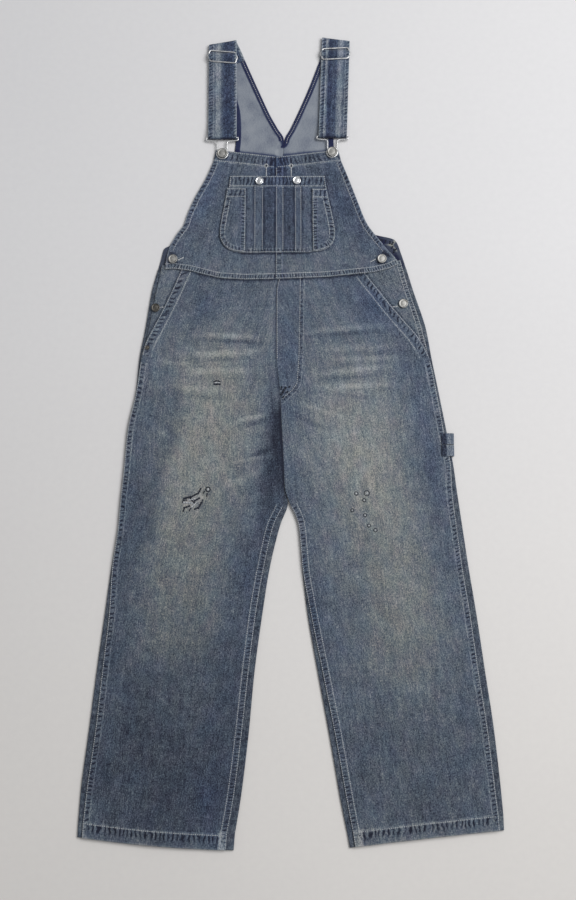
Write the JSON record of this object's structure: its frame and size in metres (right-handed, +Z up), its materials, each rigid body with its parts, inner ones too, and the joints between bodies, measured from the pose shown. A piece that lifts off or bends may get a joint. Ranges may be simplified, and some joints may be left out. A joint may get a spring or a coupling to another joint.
{
  "type": "denim suspender trousers",
  "caption": "Washed denim bib overalls laid flat, front up: wide legs, slash pockets, hammer loop, bib pocket, and straps with sliders and wire buckles.",
  "frame": {"origin": "on the surface that the garment lies on, under the middle of its overall box", "axes": "+X to the right as the garment is seen front side up, +Y from the hems towards the straps, +Z up out of the surface"},
  "size_m": [0.7064, 1.4334, 0.0134],
  "materials": {
    "denim": "washed and faded blue-grey twill, face side",
    "denim_inside": "pale grey wrong side of the twill",
    "buckle_metal": "satin nickel"
  },
  "bodies": {
    "root": {"leg_back_l": "denim", "leg_back_r": "denim", "leg_front_l": "denim", "leg_front_r": "denim", "pocket_facing_l": "denim", "pocket_facing_r": "denim", "back_bib_l": "denim_inside", "back_bib_r": "denim_inside", "bib_l": "denim", "bib_r": "denim", "bib_pocket": "denim", "pencil_pocket_l": "denim", "pencil_pocket_r": "denim", "strap_l": "denim", "strap_r": "denim", "slider_l": "buckle_metal", "slider_r": "buckle_metal", "buckle_l": "buckle_metal", "buckle_r": "buckle_metal", "hammer_loop_upper": "denim", "hammer_loop_lower": "denim", "strap_button_l": "buckle_metal", "strap_button_r": "buckle_metal", "pocket_button_l": "buckle_metal", "pocket_button_r": "buckle_metal", "waist_button_l": "buckle_metal", "waist_button_r": "buckle_metal", "side_button_l": "buckle_metal", "side_button_r": "buckle_metal", "rivet_l": "buckle_metal"}
  },
  "joints": []
}
